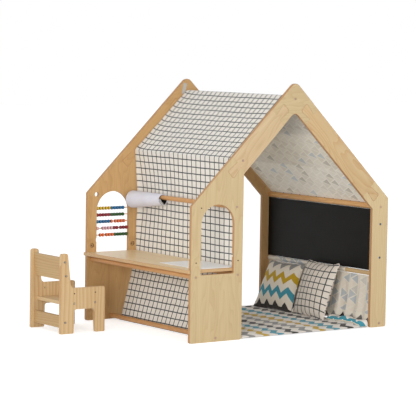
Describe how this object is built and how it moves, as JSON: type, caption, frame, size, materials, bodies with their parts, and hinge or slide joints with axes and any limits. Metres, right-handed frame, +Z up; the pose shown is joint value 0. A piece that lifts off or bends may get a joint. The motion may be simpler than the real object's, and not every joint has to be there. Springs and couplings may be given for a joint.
{
  "type": "sensory activity desk",
  "caption": "House-shaped wooden activity desk with arched side windows, bead abacus, paper roll, chalkboard, cloth roof, mat, pillows and a small chair.",
  "frame": {"origin": "on the floor, in the middle of the house between its two gables and between their front and back edges", "axes": "+Z up; -Y towards the desk and its chair; +X towards the gable without the abacus"},
  "size_m": [1.0056, 1.703, 1.3202],
  "materials": {
    "birch_ply": "birch plywood under a clear satin lacquer",
    "dowel": "round wooden rod under a clear satin lacquer",
    "pine": "solid pine under a clear satin lacquer",
    "chalkboard": "matt black chalkboard paint",
    "white_board": "smooth white",
    "paper": "plain white paper",
    "roll_core": "matt black",
    "yellow_bead": "gloss paint",
    "blue_bead": "gloss paint",
    "dark_red_bead": "gloss paint",
    "green_bead": "gloss paint",
    "orange_bead": "gloss paint",
    "pink_bead": "gloss paint",
    "check_cloth": "off-white plain weave with a thin charcoal check",
    "triangle_cloth": "off-white plain weave with pale and dark triangles",
    "chevron_cloth": "off-white plain weave with teal, yellow, grey and charcoal chevrons",
    "webbing": "warm grey webbing"
  },
  "bodies": {
    "house": {"left_gable_crown": "birch_ply", "left_front_rafter": "birch_ply", "left_back_rafter": "birch_ply", "left_front_panel": "birch_ply", "left_back_post": "birch_ply", "right_gable_crown": "birch_ply", "right_front_rafter": "birch_ply", "right_back_rafter": "birch_ply", "right_front_panel": "birch_ply", "right_back_post": "birch_ply", "desk_top": "birch_ply", "ridge_rail": "dowel", "roof_bend_rail": "dowel", "eave_rail": "dowel", "skirt_rail": "dowel", "back_foot_rail": "dowel", "front_foot_rail": "dowel", "desk_front_rail": "dowel", "desk_back_rail": "dowel", "paper_rod": "dowel", "abacus_rod_1": "dowel", "abacus_rod_2": "dowel", "abacus_rod_3": "dowel", "abacus_rod_4": "dowel", "abacus_rod_5": "dowel", "chalkboard": "chalkboard", "drawing_board": "white_board", "check_canopy": "check_cloth", "check_pillow": "check_cloth", "roof_print_cloth": "triangle_cloth", "skirt_cloth": "triangle_cloth", "skirt_sleeve": "triangle_cloth", "ridge_tab": "webbing", "floor_mat": "chevron_cloth", "chevron_pillow": "chevron_cloth", "chair_left_side": "pine", "chair_right_side": "pine", "chair_seat": "pine", "chair_backrest": "pine", "chair_stretcher": "pine"},
    "roll": {"paper_roll": "paper", "paper_core": "roll_core"},
    "row1_beads": {"row1_yellow_beads": "yellow_bead", "row1_blue_beads": "blue_bead"},
    "row2_beads": {"row2_red_beads": "dark_red_bead", "row2_green_beads": "green_bead"},
    "row3_front_beads": {"row3_blue_beads": "blue_bead", "row3_orange_single_beads": "orange_bead"},
    "row3_back_beads": {"row3_orange_beads": "orange_bead"},
    "row4_front_bead": {"row4_pink_single_beads": "pink_bead"},
    "row4_middle_beads": {"row4_pink_beads": "pink_bead", "row4_red_pair_beads": "dark_red_bead"},
    "row4_back_beads": {"row4_red_beads": "dark_red_bead"},
    "row5_front_beads": {"row5_orange_pair_beads": "orange_bead"},
    "row5_back_beads": {"row5_orange_beads": "orange_bead", "row5_green_beads": "green_bead"}
  },
  "joints": [
    {"name": "roll_spin", "type": "hinge", "parent": "house", "child": "roll", "pos_m": [-0.462, -0.3675, 0.6578], "axis": [0.9982, 0, 0.0604], "continuous": true},
    {"name": "row1_slide", "type": "slide", "parent": "house", "child": "row1_beads", "axis": [0, 1, 0], "range_m": [0, 0.0225]},
    {"name": "row2_slide", "type": "slide", "parent": "house", "child": "row2_beads", "axis": [0, 1, 0], "range_m": [0, 0.0255]},
    {"name": "row3_front_slide", "type": "slide", "parent": "house", "child": "row3_front_beads", "axis": [0, 1, 0], "range_m": [0, 0.0072]},
    {"name": "row3_back_slide", "type": "slide", "parent": "house", "child": "row3_back_beads", "axis": [0, 1, 0], "range_m": [-0.0072, 0.0178]},
    {"name": "row4_front_slide", "type": "slide", "parent": "house", "child": "row4_front_bead", "axis": [0, 1, 0], "range_m": [0, 0.017]},
    {"name": "row4_middle_slide", "type": "slide", "parent": "house", "child": "row4_middle_beads", "axis": [0, 1, 0], "range_m": [-0.017, 0.0055]},
    {"name": "row4_back_slide", "type": "slide", "parent": "house", "child": "row4_back_beads", "axis": [0, 1, 0], "range_m": [-0.0055, 0.0016]},
    {"name": "row5_front_slide", "type": "slide", "parent": "house", "child": "row5_front_beads", "axis": [0, 1, 0], "range_m": [-0.019, 0.0042]},
    {"name": "row5_back_slide", "type": "slide", "parent": "house", "child": "row5_back_beads", "axis": [0, 1, 0], "range_m": [-0.0042, 0.0018]}
  ]
}
